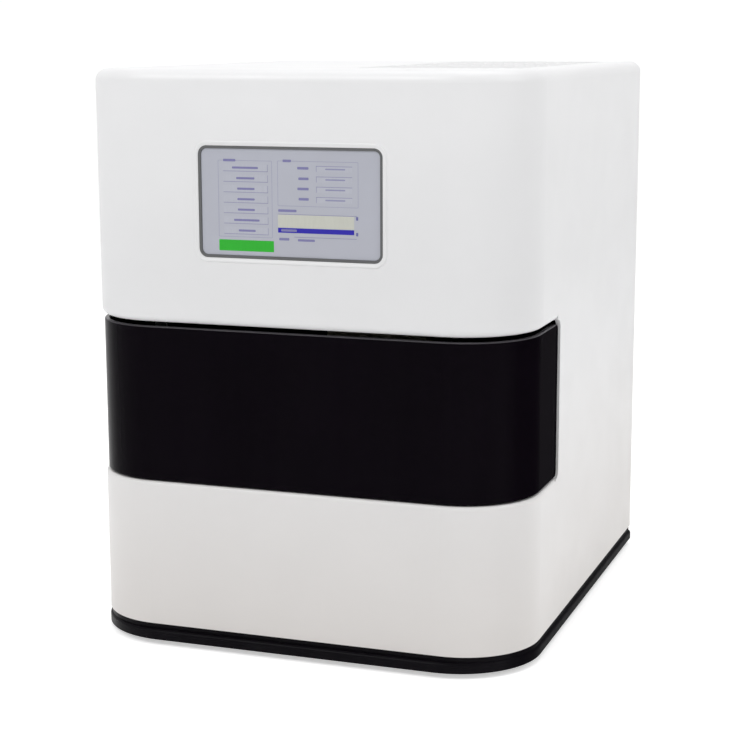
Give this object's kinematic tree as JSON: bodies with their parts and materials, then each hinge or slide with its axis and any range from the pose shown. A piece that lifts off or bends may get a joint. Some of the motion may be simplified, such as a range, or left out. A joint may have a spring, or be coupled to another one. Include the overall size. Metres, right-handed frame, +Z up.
{
  "type": "automatic headspace sampler",
  "caption": "Bench-top headspace sampler with a white moulded cover, a touch screen, a wrap-around black visor door, a vial carousel, an oven and a needle lift.",
  "frame": {"origin": "middle of the instrument's footprint, on the surface that it stands on", "axes": "+X to the right seen from the front, +Y to the back, +Z up"},
  "size_m": [0.4016, 0.469, 0.5],
  "materials": {
    "cover_white": "moulded, satin gloss",
    "base_black": "gloss black",
    "visor_black": "polished dark acrylic",
    "foot_rubber": "matt rubber",
    "panel_grey": "powder coat",
    "steel": "machined",
    "sheet_metal": "zinc plated",
    "liner_black": "matt black paint",
    "bezel_grey": "dark grey",
    "screen_glass": "lit touch panel",
    "module_metal": "pressed metal",
    "bronze": "sintered bronze",
    "magnet_black": "dark",
    "anodised_dark": "dark anodised",
    "aluminium": "machined",
    "acetal": "natural acetal",
    "knob_black": "black",
    "motor_black": "black laminations",
    "brass": "bright",
    "insulation": "pressed mineral board",
    "board_green": "solder mask",
    "inlet_black": "black",
    "rocker_red": "red",
    "fan_black": "black",
    "chrome_wire": "bright wire"
  },
  "bodies": {
    "chassis": {"base_plate": "base_black", "rubber_feet": "foot_rubber", "cover_shell": "cover_white", "rear_panel": "panel_grey", "rear_screws": "steel", "deck_plate": "sheet_metal", "deck_posts": "steel", "bay_liner": "liner_black", "ceiling_plate": "sheet_metal", "screen_bezel": "bezel_grey", "touch_panel": "screen_glass", "display_module": "module_metal", "hinge_bushes": "bronze", "catch_magnet": "magnet_black", "spindle_housing": "aluminium", "spindle_bearings": "steel", "carousel_motor": "motor_black", "oven_block": "aluminium", "oven_jacket": "insulation", "cartridge_heaters": "steel", "lift_bridge": "aluminium", "needle_rods": "steel", "lift_top_plate": "aluminium", "needle_motor": "motor_black", "lifter_motor": "motor_black", "lifter_rods": "steel", "valve_block": "aluminium", "valve_body": "steel", "valve_actuator": "motor_black", "sample_loop": "steel", "gas_manifold": "aluminium", "power_supply": "sheet_metal", "main_board": "board_green", "mains_inlet": "inlet_black", "gas_fittings": "brass", "line_gland": "inlet_black", "signal_socket": "steel", "fan_housing": "fan_black", "fan_guard": "chrome_wire"},
    "door": {"visor_door": "visor_black", "pivot_pins": "steel", "catch_plate": "steel"},
    "carousel": {"carousel_plate": "anodised_dark", "carousel_floor": "aluminium", "carousel_pillars": "steel", "carousel_spindle": "steel", "carousel_gear": "acetal", "spindle_nut": "knob_black"},
    "pinion": {"motor_pinion": "brass"},
    "needle_lift": {"needle_carriage": "anodised_dark", "needle_bushes": "bronze", "sampling_needle": "steel"},
    "needle_lead_screw": {"needle_screw": "steel"},
    "vial_lifter": {"lifter_carriage": "anodised_dark", "lifter_bushes": "bronze", "lifter_plunger": "steel"},
    "lifter_lead_screw": {"lifter_screw": "steel"},
    "valve": {"valve_rotor": "steel"},
    "switch": {"power_rocker": "rocker_red"},
    "fan": {"fan_rotor": "fan_black"}
  },
  "joints": [
    {"name": "door_hinge", "type": "hinge", "parent": "chassis", "child": "door", "pos_m": [-0.1902, -0.1125, 0.216], "axis": [0, 0, -1], "range_deg": [0, 100]},
    {"name": "carousel_spin", "type": "hinge", "parent": "chassis", "child": "carousel", "pos_m": [0, -0.0825, 0.15], "axis": [0, 0, 1], "continuous": true},
    {"name": "pinion_spin", "type": "hinge", "parent": "chassis", "child": "pinion", "pos_m": [-0.09, -0.0825, 0.071], "axis": [0, 0, 1], "continuous": true},
    {"name": "needle_slide", "type": "slide", "parent": "chassis", "child": "needle_lift", "axis": [0, 0, -1], "range_m": [0, 0.045]},
    {"name": "needle_screw_turn", "type": "hinge", "parent": "chassis", "child": "needle_lead_screw", "pos_m": [0, 0.0735, 0.38], "axis": [0, 0, 1], "range_deg": [0, 2040]},
    {"name": "lifter_slide", "type": "slide", "parent": "chassis", "child": "vial_lifter", "axis": [0, 0, 1], "range_m": [0, 0.08]},
    {"name": "lifter_screw_turn", "type": "hinge", "parent": "chassis", "child": "lifter_lead_screw", "pos_m": [0, 0.0795, 0.08], "axis": [0, 0, -1], "range_deg": [0, 3620]},
    {"name": "valve_turn", "type": "hinge", "parent": "chassis", "child": "valve", "pos_m": [0.15, 0.0445, 0.365], "axis": [0, 0, 1], "range_deg": [0, 60]},
    {"name": "switch_rock", "type": "hinge", "parent": "chassis", "child": "switch", "pos_m": [-0.103, 0.219, 0.1005], "axis": [-1, 0, 0], "range_deg": [0, 16]},
    {"name": "fan_spin", "type": "hinge", "parent": "chassis", "child": "fan", "pos_m": [-0.105, 0.2015, 0.405], "axis": [0, 1, 0], "continuous": true}
  ],
  "couplings": [
    {"joint": "pinion_spin", "follows": "carousel_spin", "ratio": -4},
    {"joint": "needle_screw_turn", "follows": "needle_slide", "rad_per_m": 785.4},
    {"joint": "lifter_screw_turn", "follows": "lifter_slide", "rad_per_m": 785.4}
  ]
}
